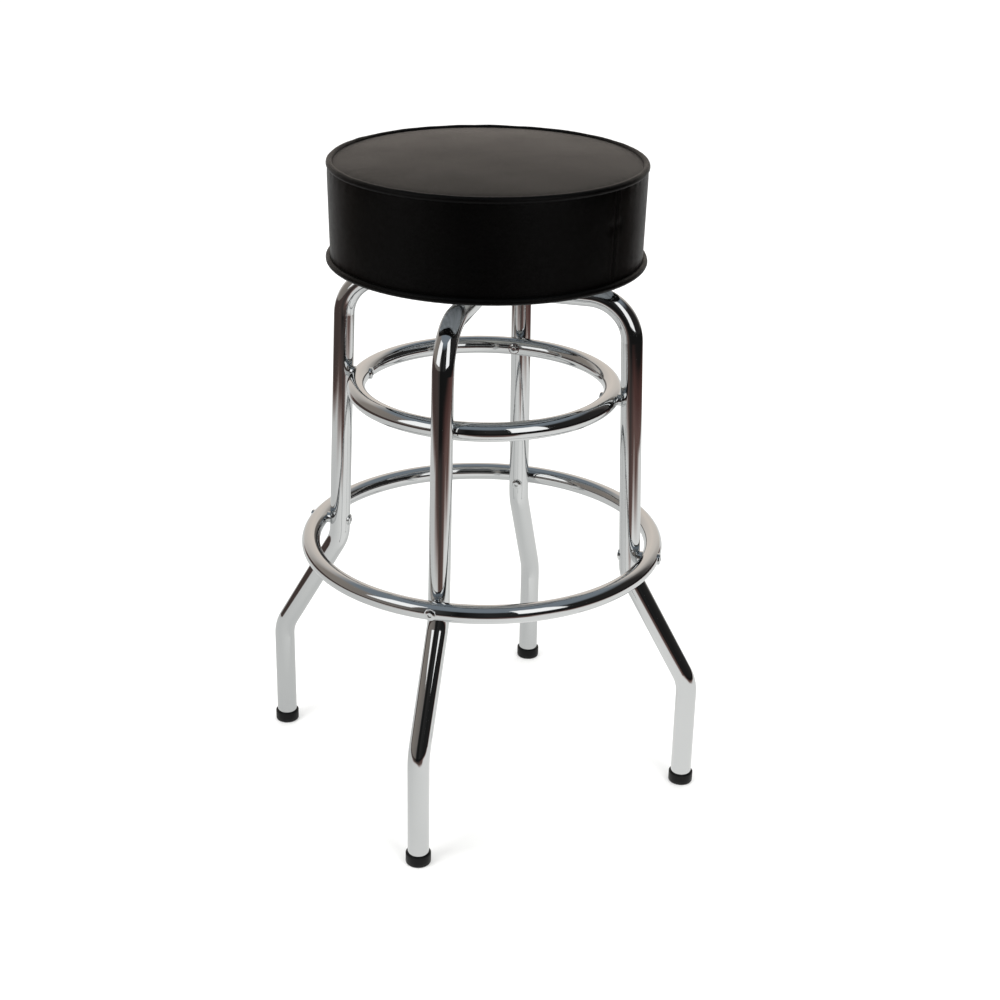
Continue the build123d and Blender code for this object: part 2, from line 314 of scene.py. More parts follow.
zincPlate = {
    "tint": (0.60, 0.61, 0.60),
    "warm": (0.64, 0.58, 0.44),
    "spangle": 190.0,
    "cast": (24.0, 3.0),
    "castSpread": (0.45, 0.75),
    "castMost": 0.6,
    "smudges": {"Scale": 45.0, "Least": 0.24, "Most": 0.42},
    "hairlines": {"Scale": 300.0, "Stretch": 0.3},
    "bump": (0.25, 0.00004),
}


def zincFinish():
    material, tree, shader = newFinish("zincSteel")
    shader.inputs["Metallic"].default_value = 1.0
    point = objectPoint(tree)
    cells = {"Vector": point, "Scale": zincPlate["spangle"]}
    spangle = addNode(tree, "ShaderNodeTexVoronoi", cells).outputs["Distance"]
    cast = noiseNode(tree, point, *zincPlate["cast"])
    warm = rangeNode(tree, cast, *zincPlate["castSpread"], 0.0, zincPlate["castMost"])
    warmth = mathNode(tree, "MULTIPLY", warm, spangle)
    tintInto(tree, shader, warmth, zincPlate["tint"], zincPlate["warm"])
    smudgeInto(tree, shader, zincPlate["smudges"])
    line = placeGroup(tree, hairlines, zincPlate["hairlines"])["Height"]
    bumpInto(tree, shader, line, *zincPlate["bump"])
    return material


bearingSteel = {
    "tint": (0.58, 0.58, 0.59),
    "oil": (0.32, 0.25, 0.13),
    "film": (150.0, 3.0),
    "filmSpread": (0.5, 0.8),
    "filmMost": 0.7,
    "smudges": {"Scale": 120.0, "Least": 0.06, "Most": 0.18},
}


def bearingFinish():
    material, tree, shader = newFinish("bearingSteel")
    shader.inputs["Metallic"].default_value = 1.0
    film = noiseNode(tree, objectPoint(tree), *bearingSteel["film"])
    greased = rangeNode(tree, film, *bearingSteel["filmSpread"], 0.0, bearingSteel["filmMost"])
    tintInto(tree, shader, greased, bearingSteel["tint"], bearingSteel["oil"])
    smudgeInto(tree, shader, bearingSteel["smudges"])
    return material


nylonCage = {
    "tint": (0.70, 0.66, 0.54),
    "stain": (0.34, 0.27, 0.16),
    "milky": 0.15,
    "film": (70.0, 4.0),
    "filmSpread": (0.5, 0.75),
    "filmMost": 0.8,
    "smudges": {"Scale": 90.0, "Least": 0.35, "Most": 0.55},
}


def nylonFinish():
    material, tree, shader = newFinish("cageNylon")
    shader.inputs["Subsurface Weight"].default_value = nylonCage["milky"]
    film = noiseNode(tree, objectPoint(tree), *nylonCage["film"])
    greased = rangeNode(tree, film, *nylonCage["filmSpread"], 0.0, nylonCage["filmMost"])
    tintInto(tree, shader, greased, nylonCage["tint"], nylonCage["stain"])
    smudgeInto(tree, shader, nylonCage["smudges"])
    return material


plywood = {
    "pale": (0.33, 0.36, 0.39),  # grey sealer over the veneer
    "dark": (0.22, 0.24, 0.26),
    "glueLine": (0.07, 0.06, 0.055),
    "stretch": (1.0, 0.06, 1.0),  # draws the figure out along the veneer's grain
    "figure": {"Scale": 95.0, "Detail": 6.0, "Distortion": 0.8},
    "figureSpread": (0.35, 0.68),
    "ply": 0.0015,
    "glueShare": 0.16,  # of a ply's thickness
    "edgeFrom": (0.5, 0.3),  # upward part of the normal on the board's edge
    "smudges": {"Scale": 40.0, "Least": 0.55, "Most": 0.75},
    "bump": (0.35, 0.0002),
}


def plywoodFinish():
    material, tree, shader = newFinish("plywood")
    point = objectPoint(tree)
    stretched = vectorNode(tree, "MULTIPLY", point, plywood["stretch"])["Vector"]
    figure = addNode(tree, "ShaderNodeTexNoise", {"Vector": stretched, **plywood["figure"]}).outputs["Fac"]
    streaks = rangeNode(tree, figure, *plywood["figureSpread"])
    grain = mixColor(tree, streaks, plywood["pale"], plywood["dark"])
    level = addNode(tree, "ShaderNodeSeparateXYZ", {0: point}).outputs["Z"]
    plies = mathNode(tree, "DIVIDE", mathNode(tree, "SUBTRACT", level, boardBottom), plywood["ply"])
    layer = mathNode(tree, "FRACT", plies)
    normal = addNode(tree, "ShaderNodeNewGeometry").outputs["Normal"]
    upward = addNode(tree, "ShaderNodeSeparateXYZ", {0: normal}).outputs["Z"]
    edgeMask = rangeNode(tree, mathNode(tree, "ABSOLUTE", upward), *plywood["edgeFrom"])
    glue = mathNode(tree, "MULTIPLY", mathNode(tree, "LESS_THAN", layer, plywood["glueShare"]), edgeMask)
    tintInto(tree, shader, glue, grain, plywood["glueLine"])
    smudgeInto(tree, shader, plywood["smudges"])
    bumpInto(tree, shader, figure, *plywood["bump"])
    return material


finishes = {
    "chrome_tube": chromeFinish("chromeTube", chromePlate["tubeRipple"]),
    "chrome_hardware": chromeFinish("chromeHardware", chromePlate["hardwareRipple"]),
    "seat_vinyl": vinylFinish(),
    "black_rubber": rubberFinish(),
    "zinc_steel": zincFinish(),
    "bearing_steel": bearingFinish(),
    "cage_nylon": nylonFinish(),
    "plywood": plywoodFinish(),
}
for obj in nodes.values():
    for place in obj.material_slots:
        if place.material.name in finishes:
            place.material = finishes[place.material.name]
print("finishes made:", len(finishes))


# Mesh helpers

tolerance = 1e-6


def newMesh(bm, name):
    mesh = bpy.data.meshes.new(name)
    bm.to_mesh(mesh)
    bm.free()
    return mesh


def linkNew(name, data):
    made = bpy.data.objects.new(name, data)
    bpy.context.scene.collection.objects.link(made)
    return made


def profileLine(bm, points):  # a chain of (radius, height) points in the XZ plane
    verts = [bm.verts.new((radius, 0.0, height)) for radius, height in points]
    for pair in zip(verts, verts[1:]):
        bm.edges.new(pair)
    return verts


def roundCorners(bm, verts, offset, segments):
    bmesh.ops.bevel(
        bm, geom=verts, offset=offset, affect="VERTICES", segments=segments, profile=0.5, material=-1
    )


def turnVerts(bm, verts, angle, axis):
    bmesh.ops.rotate(bm, verts=verts, cent=(0, 0, 0), matrix=Matrix.Rotation(angle, 3, axis))


def fullTurn(bm, steps):
    bmesh.ops.spin(
        bm, geom=bm.verts[:] + bm.edges[:], cent=(0, 0, 0), axis=(0, 0, 1),
        angle=2 * math.pi, steps=steps, use_merge=True,
    )
    bmesh.ops.remove_doubles(bm, verts=bm.verts[:], dist=tolerance)
    bmesh.ops.recalc_face_normals(bm, faces=bm.faces[:])


def extendLoop(bm, edges, radius, height):  # draws a round edge loop out to a new radius and height
    made = bmesh.ops.extrude_edge_only(bm, edges=edges)["geom"]
    for vert in (part for part in made if isinstance(part, bmesh.types.BMVert)):
        flat = vert.co.to_2d().normalized() * radius
        vert.co = (flat.x, flat.y, height)
    return [part for part in made if isinstance(part, bmesh.types.BMEdge)]


def atLegs(bm):  # a piece made on +X, repeated on the four diagonals
    turnVerts(bm, bm.verts[:], math.radians(45), "Z")
    bmesh.ops.spin(
        bm, geom=bm.verts[:] + bm.edges[:] + bm.faces[:], cent=(0, 0, 0), axis=(0, 0, 1),
        angle=1.5 * math.pi, steps=3, use_duplicate=True,
    )


def finishPiece(bm, name, slotName, body, replaced=(), *, sharp):  # sharp is in degrees
    mesh = newMesh(bm, name)
    for polygon in mesh.polygons:
        polygon.use_smooth = True
    mesh.set_sharp_from_angle(angle=math.radians(sharp))
    mesh.materials.append(finishes[slotName])
    piece = linkNew(name, mesh)
    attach(piece, body)
    if replaced:
        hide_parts(*replaced)
    print("piece", name, len(mesh.polygons), "faces")
    return piece


def settledMesh(obj):  # the mesh with its modifiers applied
    bpy.context.view_layer.update()
    graph = bpy.context.evaluated_depsgraph_get()
    return bpy.data.meshes.new_from_object(obj.evaluated_get(graph), depsgraph=graph)


# Seat cushion: swelled by cloth, then seamed, then turned under the board

cushion = {
    "below": 0.022,  # under the board, cut off again behind the lower welt
    "seamLift": 0.0012,
    "seamBand": 0.006,  # upright part under the seam
    "startCrown": 0.0105,  # before it swells
    "rings": 14,
    "steps": 144,
    "voxel": 0.0045,
    "held": 0.007,  # how near the seam the cloth is held
    "cloth": {
        "quality": 5, "mass": 0.3, "tension_stiffness": 40, "compression_stiffness": 40,
        "bending_stiffness": 4, "use_pressure": True, "uniform_pressure_force": 4.0,
        "vertex_group_mass": "held",
    },
    "frames": 20,
    "topFrom": 0.004,  # below the seam, where the top begins to swell
    "topSwell": 0.0042,  # the most a point of the top may move
    "sideSwell": 0.0008,
    "smoothing": (3, 0.5),  # passes and share, to take out the even mesh's steps
}


def cushionStart():
    bm = bmesh.new()
    low = boardBottom - cushion["below"]
    seamZ = upperWeltHeight + cushion["seamLift"]
    middle = (bandFoot + seamRadius) / 2
    points = [(0.0, low), (bandFoot, low), (bandFoot, boardTop), (middle, (boardTop + seamZ) / 2)]
    points += [(seamRadius, seamZ - cushion["seamBand"]), (seamRadius, seamZ)]
    for step in range(1, cushion["rings"] + 1):  # crown, from the seam to the axis
        share = 1 - step / cushion["rings"]
        points.append((seamRadius * share, seamZ + cushion["startCrown"] * (1 - share ** 2)))
    profileLine(bm, points)
    fullTurn(bm, cushion["steps"])
    return newMesh(bm, "cushionStart")


def pressedOut(obj):  # where the cloth's points go under pressure
    cloth = obj.modifiers.new("swell", "CLOTH")
    for name, value in cushion["cloth"].items():
        setattr(cloth.settings, name, value)
    cloth.settings.effector_weights.gravity = 0
    for step in range(1, cushion["frames"] + 1):
        bpy.context.scene.frame_set(step)
    swelled = settledMesh(obj)
    moved = [vert.co.copy() for vert in swelled.vertices]
    obj.modifiers.clear()
    bpy.data.meshes.remove(swelled)
    bpy.context.scene.frame_set(1)
    return moved


def swellCushion(mesh):
    obj = linkNew("cushionCloth", mesh)
    remesh = obj.modifiers.new("evenMesh", "REMESH")
    remesh.mode = "VOXEL"
    remesh.voxel_size = cushion["voxel"]
    even = settledMesh(obj)
    obj.modifiers.clear()
    obj.data = even
    start = [vert.co.copy() for vert in even.vertices]
    held = obj.vertex_groups.new(name="held")
    for index, co in enumerate(start):
        seamGap = math.hypot(co.to_2d().length - seamRadius, co.z - upperWeltHeight)
        if seamGap < cushion["held"] or co.z < boardTop:
            held.add([index], 1.0, "REPLACE")
    moved = start
    moved = pressedOut(obj)
    topFrom = upperWeltHeight - cushion["topFrom"]
    for side, most in (("top", cushion["topSwell"]), ("side", cushion["sideSwell"])):
        chosen = [index for index, co in enumerate(start) if (co.z > topFrom) == (side == "top")]
        reach = max((moved[index] - start[index]).length for index in chosen)
        ease = min(1.0, most / reach) if reach else 0.0
        print("cushion", side, "moved", round(reach * 1000, 2), "mm, kept", round(ease, 3))
        for index in chosen:
            even.vertices[index].co = start[index] + (moved[index] - start[index]) * ease
    rounding = obj.modifiers.new("round", "SUBSURF")
    rounding.levels = rounding.render_levels = 1
    smooth = settledMesh(obj)
    bpy.data.objects.remove(obj)
    return smooth


gathers = {
    "driftScale": 3,
    "drift": 6,  # how unevenly they are spaced
    "sizeScale": 6,
    "sizeSeed": 5,  # added to the seed
    "size": (0.55, 0.45),  # middle and spread
}


def roundNoise(angle, scale, seed):  # noise that closes on itself round the seat
    return noise.noise(Vector((math.cos(angle) * scale, math.sin(angle) * scale, seed)))


def gather(angle, count, seed):  # puckers along a sewn edge, -1 to 1, uneven in size and spacing
    drift = roundNoise(angle, gathers["driftScale"], seed)
    size = roundNoise(angle, gathers["sizeScale"], seed + gathers["sizeSeed"])
    middle, spread = gathers["size"]
    return math.sin(count * angle + gathers["drift"] * drift) * (middle + spread * size)


def gathered(angle, gap, values):  # puckers that fade away from their edge
    height, count, seed, fade = values
    return height * gather(angle, count, seed) * math.exp(-gap / fade)


def swell(gap, values):  # a smooth rise, or a dip where the height is below 0
    height, middle, width = values
    return height * math.exp(-((gap - middle) / width) ** 2)


sewing = {  # swells are height, middle and width, gathers are height, count, seed and fade
    "boxSeam": 290,  # degrees, where the side band's ends are sewn together
    "boxCuts": (-0.0045, -0.002, 0.0, 0.002, 0.0045),  # edges for the boxing seam to follow
    "boxFrom": 0.15,
    "boxReach": 0.02,
    "axis": 1e-4,  # points nearer to the axis than this stay
    "topFrom": 0.002,  # below the seam, where the top panel begins
    "topDip": (-0.0005, 0.006, 0.006),
    "topGathers": (0.00028, 74, 1, 0.011),
    "topUneven": 0.0005,
    "topUnevenScale": 11,
    "topUnevenSeed": 0.3,
    "bandDip": (-0.0003, 0.006, 0.005),
    "bandGathers": (0.00022, 66, 2, 0.012),
    "footGathers": (0.00018, 58, 3, 0.014),
    "bandUneven": 0.0005,
    "bandUnevenScale": (3, 14),  # round the seat and upwards
    "boxDip": (-0.0008, 0.0, 0.0016),
    "boxRise": (0.0003, 0.0045, 0.003),
    "tuck": 0.0008,
    "tuckUp": (1.0, -0.042, 0.006),
    "tuckAside": (1.0, 0.006, 0.007),
}


def cutBoxSeam(bm, outwards, along):
    for offset in sewing["boxCuts"]:
        strip = []
        for face in bm.faces:
            middle = face.calc_center_median()
            if middle.dot(outwards) > sewing["boxFrom"] and abs(middle.dot(along)) < sewing["boxReach"]:
                strip.append(face)
        geom = {part for face in strip for part in (face, *face.edges, *face.verts)}
        bmesh.ops.bisect_plane(bm, geom=list(geom), dist=1e-5, plane_co=along * offset, plane_no=along)


def sewCushion(bm):
    seamZ = upperWeltHeight
    boxAngle = math.radians(sewing["boxSeam"])
    outwards = Vector((math.cos(boxAngle), math.sin(boxAngle), 0))
    along = Vector((-outwards.y, outwards.x, 0))
    cutBoxSeam(bm, outwards, along)
    for vert in bm.verts:
        co = vert.co.copy()
        radius = co.to_2d().length
        if radius < sewing["axis"]:
            continue
        angle = math.atan2(co.y, co.x)
        radial = Vector((co.x / radius, co.y / radius, 0))
        if co.z > seamZ - sewing["topFrom"]:
            inside = max(0.0, seamRadius - radius)
            co.z += swell(inside, sewing["topDip"])
            co.z += gathered(angle, inside, sewing["topGathers"])
            scale = sewing["topUnevenScale"]
            uneven = noise.noise(Vector((co.x * scale, co.y * scale, sewing["topUnevenSeed"])))
            co.z += sewing["topUneven"] * uneven
        else:  # side band
            fromTop = max(0.0, seamZ - co.z)
            fromFoot = max(0.0, co.z - lowerWeltHeight)
            push = swell(fromTop, sewing["bandDip"])
            push += gathered(angle, fromTop, sewing["bandGathers"])
            push += gathered(angle, fromFoot, sewing["footGathers"])
            scale, upScale = sewing["bandUnevenScale"]
            uneven = noise.noise(Vector((radial.x * scale, radial.y * scale, co.z * upScale)))
            push += sewing["bandUneven"] * uneven
            if co.dot(outwards) > 0:
                aside = abs(co.dot(along))
                push += swell(aside, sewing["boxDip"])
                push += swell(aside, sewing["boxRise"])
                tuck = swell(co.z - seamZ, sewing["tuckUp"]) * swell(aside, sewing["tuckAside"])
                push -= sewing["tuck"] * tuck
            co += radial * push
        vert.co = co


hem = {
    "cut": 0.001,  # above the lower welt's middle, where the band is cut off
    "outline": (  # inwards from the band's foot and up from the hem's underside
        (0.0, 0.0014), (0.0005, 0.0004), (0.0016, 0.0), (0.006, 0.0), (0.010, 0.0),
        (0.015, 0.0), (0.015, 0.0012),
    ),
    "bend": 0.007,  # inwards from the band's foot, where its upper side meets the board
    "boardGap": (0.0002, 0.0003, 0.0003),  # round, under and over the board
    "lining": (0.12, 0.05),  # radii of the rings over the board
    "pleats": {2: 0.2, 3: 1.0, 4: 0.9, 5: 0.6, 6: 0.6},  # share of the depth, by place in the outline
    "pleatDepth": 0.0011,
    "pleatGathers": (46, 4),  # count and seed
    "wavyFrom": 5,  # place in the outline from which the cut edge wanders
    "wave": 0.012,
    "waveGathers": (9, 6),
}


def turnUnder(bm):  # cuts the band off behind the lower welt, then draws it round the board as a hem
    bmesh.ops.bisect_plane(
        bm, geom=bm.verts[:] + bm.edges[:] + bm.faces[:], dist=tolerance,
        plane_co=(0, 0, lowerWeltHeight + hem["cut"]), plane_no=(0, 0, 1), clear_inner=True,
    )
    loop = [edge for edge in bm.edges if edge.is_boundary]
    roundGap, underGap, overGap = hem["boardGap"]
    inner, under, over = boardRadius + roundGap, boardBottom - underGap, boardTop + overGap
    outline = [(bandFoot - inwards, hemBottom + up) for inwards, up in hem["outline"]]
    outline += [(bandFoot - hem["bend"], under), (inner, under), (inner, over)]
    outline += [(radius, over) for radius in hem["lining"]]
    rings = []
    for radius, height in outline:
        loop = extendLoop(bm, loop, radius, height)
        rings.append({vert for edge in loop for vert in edge.verts})
    bmesh.ops.edgeloop_fill(bm, edges=loop)
    for place, share in hem["pleats"].items():
        for vert in rings[place]:
            angle = math.atan2(vert.co.y, vert.co.x)
            fold = max(0.0, gather(angle, *hem["pleatGathers"]))
            vert.co.z -= hem["pleatDepth"] * share * fold
            if place >= hem["wavyFrom"]:
                vert.co.xy *= 1 + hem["wave"] * gather(angle, *hem["waveGathers"])
    bmesh.ops.recalc_face_normals(bm, faces=bm.faces[:])


def buildCushion():
    smooth = swellCushion(cushionStart())
    bm = bmesh.new()
    bm.from_mesh(smooth)
    bpy.data.meshes.remove(smooth)
    passes, share = cushion["smoothing"]
    for _ in range(passes):
        bmesh.ops.smooth_vert(
            bm, verts=bm.verts[:], factor=share, use_axis_x=True, use_axis_y=True, use_axis_z=True
        )
    sewCushion(bm)
    turnUnder(bm)
    replaced = ("seat_foam", "seat_top_panel", "seat_side_band")
    piece = finishPiece(bm, "seatCushion", "seat_vinyl", "seat", replaced, sharp=60)


buildCushion()


# Welts: piping round the top and the bottom of the seat

welt = {
    "steps": 220,
    "sides": 20,
    "wobble": 0.00022,
    "wobbleScale": 7,
    "pucker": 0.00009,
    "puckerCount": 96,
    "puckerSeed": 2,  # added to the seed
    "lap": 0.0003,  # where the piping's ends are lapped
    "lapLength": 0.012,
}


def buildWelt(name, node, radius, height, lapAngle, seed):
    bm = bmesh.new()
    section = bmesh.ops.create_circle(bm, segments=welt["sides"], radius=weltSection)["verts"]
    turnVerts(bm, section, math.pi / 2, "X")
    bmesh.ops.translate(bm, verts=section, vec=(radius, 0, height))
    fullTurn(bm, welt["steps"])
    for vert in bm.verts:
        angle = math.atan2(vert.co.y, vert.co.x)
        middle = Vector((math.cos(angle), math.sin(angle), 0)) * radius + Vector((0, 0, height))
        away = (vert.co - middle).normalized()
        wobble = welt["wobble"] * roundNoise(angle, welt["wobbleScale"], seed)
        rise = wobble + welt["pucker"] * gather(angle, welt["puckerCount"], seed + welt["puckerSeed"])
        gap = abs((angle - math.radians(lapAngle) + math.pi) % (2 * math.pi) - math.pi) * radius
        if gap < welt["lapLength"] / 2:
            rise += welt["lap"]
        vert.co = middle + away * (weltSection + rise) + Vector((0, 0, wobble))
    finishPiece(bm, name, "seat_vinyl", "seat", (node,), sharp=60)


buildWelt("upperWelt", "upper_welt", upperWeltRadius, upperWeltHeight, lapAngle=118, seed=11)
buildWelt("lowerWelt", "lower_welt", lowerWeltRadius, lowerWeltHeight, lapAngle=104, seed=17)


# Staples that hold the hem to the board

staple = {
    "count": 42,
    "crown": 0.0098,
    "wire": 0.0006,
    "rounding": 0.3,  # share of the wire
    "rise": 0.0009,
    "inset": 0.0100,
    "spacing": 0.2,  # how far the spacing, the turn and the inset wander
    "skew": 0.2,
    "stray": 0.001,
    "seed": 5,
}


def buildStaples():
    bm = bmesh.new()
    draw = random.Random(staple["seed"])

    def wander(most):
        return draw.uniform(-most, most)

    for number in range(staple["count"]):
        made = bmesh.ops.create_cube(bm, size=1.0)["verts"]
        bmesh.ops.scale(bm, verts=made, vec=(staple["wire"], staple["crown"], staple["wire"]))
        edges = list({edge for vert in made for edge in vert.link_edges})
        rounded = bmesh.ops.bevel(
            bm, geom=edges, offset=staple["wire"] * staple["rounding"],
            affect="EDGES", segments=2, profile=0.5, material=-1,
        )
        made = list({vert for face in rounded["faces"] for vert in face.verts})
        turn = 2 * math.pi * (number + wander(staple["spacing"])) / staple["count"]
        turnVerts(bm, made, wander(staple["skew"]), "Z")
        radius = bandFoot - staple["inset"] + wander(staple["stray"])
        bmesh.ops.translate(bm, verts=made, vec=(radius, 0, hemBottom - staple["rise"]))
        turnVerts(bm, made, turn, "Z")
    finishPiece(bm, "hemStaples", "zinc_steel", "seat", sharp=40)


buildStaples()


# Rubber caps on the feet

footCap = {
    "places": ("front_right", "back_right", "back_left", "front_left"),
    "bore": 0.01275,
    "floor": 0.004,
    "rounding": (0.0026, 5),  # size and steps
    "lip": (0.0008, 3),
    "sole": ((0.0034, 1), (0.0038, 0), (0.0062, 0), (0.0066, 1), (0.0090, 1), (0.0094, 0)),  # 1 is recessed
    "soleDepth": 0.0007,
    "steps": 56,
}


def buildFootCaps():
    for place in footCap["places"]:
        node = "foot_cap_" + place
        low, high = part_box(node)
        outer, height = (high.x - low.x) / 2, high.z
        points = [(0.0, footCap["soleDepth"])]
        points += [(radius, footCap["soleDepth"] * deep) for radius, deep in footCap["sole"]]
        lowest = len(points)
        points += [(outer, 0.0), (outer, height), (footCap["bore"], height)]
        points += [(footCap["bore"], footCap["floor"]), (0.0, footCap["floor"])]
        bm = bmesh.new()
        verts = profileLine(bm, points)
        roundCorners(bm, [verts[lowest]], *footCap["rounding"])
        lip = [vert for vert in bm.verts if vert.co.x > outer - tolerance and vert.co.z > height - tolerance]
        roundCorners(bm, lip, *footCap["lip"])
        fullTurn(bm, footCap["steps"])
        middle = (low + high) / 2
        bmesh.ops.translate(bm, verts=bm.verts[:], vec=(middle.x, middle.y, 0))
        name = "footCap" + "".join(word.capitalize() for word in place.split("_"))
        finishPiece(bm, name, "black_rubber", "base", (node,), sharp=50)


buildFootCaps()


# Bolts and cap nuts of the rings, low round heads with a hexagon socket

ringJoint = {
    "washer": 0.0006,
    "spacer": 0.0015,
    "legSection": 0.0127,
    "edge": 0.0006,  # straight side under a head's dome
    "socket": 0.0023,  # corner radius of the hexagon
    "socketDepth": 0.0010,
    "rim": 1.2,  # round rim of the socket, as a share of its corner radius
    "rimDepth": 0.0002,
    "rimSteps": 36,
    "dome": (0.6, 0.74, 0.86, 0.95, 1.0),  # shares of the head's radius
    "underEdge": 0.0002,
    "tip": 0.0005,
    "braceBolt": 0.0358,  # lengths under the head
    "capNut": 0.014,
    "footBoltEnd": 0.0015,  # how far the bolt ends before the cap nut's seat
}
boltHead = {"radius": 0.006, "rise": 0.0016, "shank": 0.003}
nutHead = {"radius": 0.006, "rise": 0.0018, "shank": 0.0045, "bore": 0.00305, "blind": 0.0012}


def domeAt(head, radius):  # height of a head's round top
    rise = head["rise"] - ringJoint["edge"]
    ball = (head["radius"] ** 2 + rise ** 2) / (2 * rise)
    return head["rise"] - ball + math.sqrt(ball ** 2 - radius ** 2)


def socketHead(head, length):  # its seat at the origin, the dome up
    bm = bmesh.new()
    socket, radius, shank = ringJoint["socket"], head["radius"], head["shank"]
    rim = socket * ringJoint["rim"]
    rimHeight = domeAt(head, rim)
    hexagon = bmesh.ops.create_circle(bm, cap_ends=True, segments=6, radius=socket)["verts"]
    bmesh.ops.translate(bm, verts=hexagon, vec=(0, 0, rimHeight - ringJoint["socketDepth"]))
    walls = [edge for edge in bm.edges if edge.is_boundary]
    walls = extendLoop(bm, walls, socket, rimHeight - ringJoint["rimDepth"])
    ring = bmesh.ops.create_circle(bm, segments=ringJoint["rimSteps"], radius=rim)["verts"]
    bmesh.ops.translate(bm, verts=ring, vec=(0, 0, rimHeight))
    loop = list({edge for vert in ring for edge in vert.link_edges})
    bmesh.ops.bridge_loops(bm, edges=walls + loop)
    underEdge, tip = ringJoint["underEdge"], ringJoint["tip"]
    outline = [(radius * share, domeAt(head, radius * share)) for share in ringJoint["dome"]]
    outline += [(radius, underEdge), (radius - underEdge, 0.0)]
    outline += [(shank, 0.0), (shank, tip - length), (shank - tip, -length)]
    if "bore" in head:
        outline += [(head["bore"], -length), (head["bore"], -head["blind"])]
    for place, height in outline:
        loop = extendLoop(bm, loop, place, height)
    bmesh.ops.edgeloop_fill(bm, edges=loop)
    bmesh.ops.recalc_face_normals(bm, faces=bm.faces[:])
    return bm


def buildHeads(name, node, head, length, seat, height, turn):
    bm = socketHead(head, length)
    place = Matrix.Translation((seat, 0, height)) @ Matrix.Rotation(math.radians(turn), 4, "Y")
    bmesh.ops.transform(bm, matrix=place, verts=bm.verts[:])
    atLegs(bm)
    finishPiece(bm, name, "chrome_hardware", "base", (node,), sharp=32)


braceSeat = braceRadius - ringSection - ringJoint["washer"]
footSeat = footRadius + ringSection + ringJoint["washer"]
nutSeat = footRadius - ringSection - ringJoint["spacer"] - 2 * ringJoint["legSection"] - ringJoint["washer"]
braceBolt, capNut = ringJoint["braceBolt"], ringJoint["capNut"]
footBolt = footSeat - nutSeat - ringJoint["footBoltEnd"]
buildHeads("braceRingBolts", "brace_ring_bolts", boltHead, braceBolt, braceSeat, braceHeight, turn=-90)
buildHeads("footRingBolts", "foot_ring_bolts", boltHead, footBolt, footSeat, footHeight, turn=90)
buildHeads("footRingCapNuts", "foot_ring_cap_nuts", nutHead, capNut, nutSeat, footHeight, turn=-90)


# Studio: camera, floor, surroundings and lamps

photoView = {
    "azimuth": -29.63,  # degrees round the stool, 0 looks along +Y
    "elevation": 23.57,
    "roll": 0.76,
    "aim": (-0.0131, 0.0075, 0.3534),
    "distance": 2.2123,
    "sensor": 36.0,
    "lens": 64.71,
    "shiftX": 0.0298,
}
plainWhite = (1, 1, 1, 1)


def sideways(azimuth, elevation):  # unit vector from the stool, azimuth counted from the camera to the right
    turn, rise = math.radians(photoView["azimuth"] + azimuth), math.radians(elevation)
    return Vector((math.sin(turn) * math.cos(rise), -math.cos(turn) * math.cos(rise), math.sin(rise)))


def bareTree(owner):  # an empty node tree for a world or a material
    owner.use_nodes = True
    owner.node_tree.nodes.clear()
    return owner.node_tree


def glowNode(tree, kind, color, strength):
    return addNode(tree, kind, {"Color": color, "Strength": strength}).outputs[0]


def byRay(tree, plain, mirrored, white):  # what plain surfaces, the chrome and the camera get
    path = addNode(tree, "ShaderNodeLightPath").outputs
    glossy = addNode(tree, "ShaderNodeMixShader", {0: path["Is Glossy Ray"], 1: plain, 2: mirrored})
    seen = addNode(tree, "ShaderNodeMixShader", {0: path["Is Camera Ray"], 1: glossy.outputs[0], 2: white})
    return seen.outputs[0]


def buildCamera():
    data = bpy.data.cameras.new("photoCamera")
    data.sensor_width = photoView["sensor"]
    data.lens = photoView["lens"]
    data.shift_x = photoView["shiftX"]
    camera = linkNew("photoCamera", data)
    back = sideways(0, photoView["elevation"])
    camera.location = Vector(photoView["aim"]) + back * photoView["distance"]
    camera.rotation_mode = "QUATERNION"
    roll = Quaternion((0, 0, 1), math.radians(photoView["roll"]))
    camera.rotation_quaternion = back.to_track_quat("Z", "Y") @ roll
    bpy.context.scene.camera = camera


room = {
    "walls": {  # what the chrome mirrors, by degrees from the camera to the right
        -180: (0.86, 0.775, 0.70), -150: (0.73, 0.675, 0.625), -134: (0.57, 0.535, 0.505),
        -120: (0.32, 0.285, 0.255), -92: (0.28, 0.25, 0.225), -46: (0.22, 0.20, 0.185),
        -30: (0.06, 0.06, 0.06), -14: (0.010, 0.010, 0.010), 4: (0.03, 0.03, 0.03),
        42: (0.016, 0.016, 0.016), 112: (0.03, 0.028, 0.027), 124: (0.12, 0.11, 0.105),
        134: (0.43, 0.405, 0.38), 152: (0.75, 0.695, 0.64), 180: (0.86, 0.775, 0.70),
    },
    "ceiling": (0.225, 0.262, 0.30),
    "ceilingFrom": (0.60, 0.76),  # sine of the elevation
    "openLight": 0.55,  # what plain surfaces get from all round
}


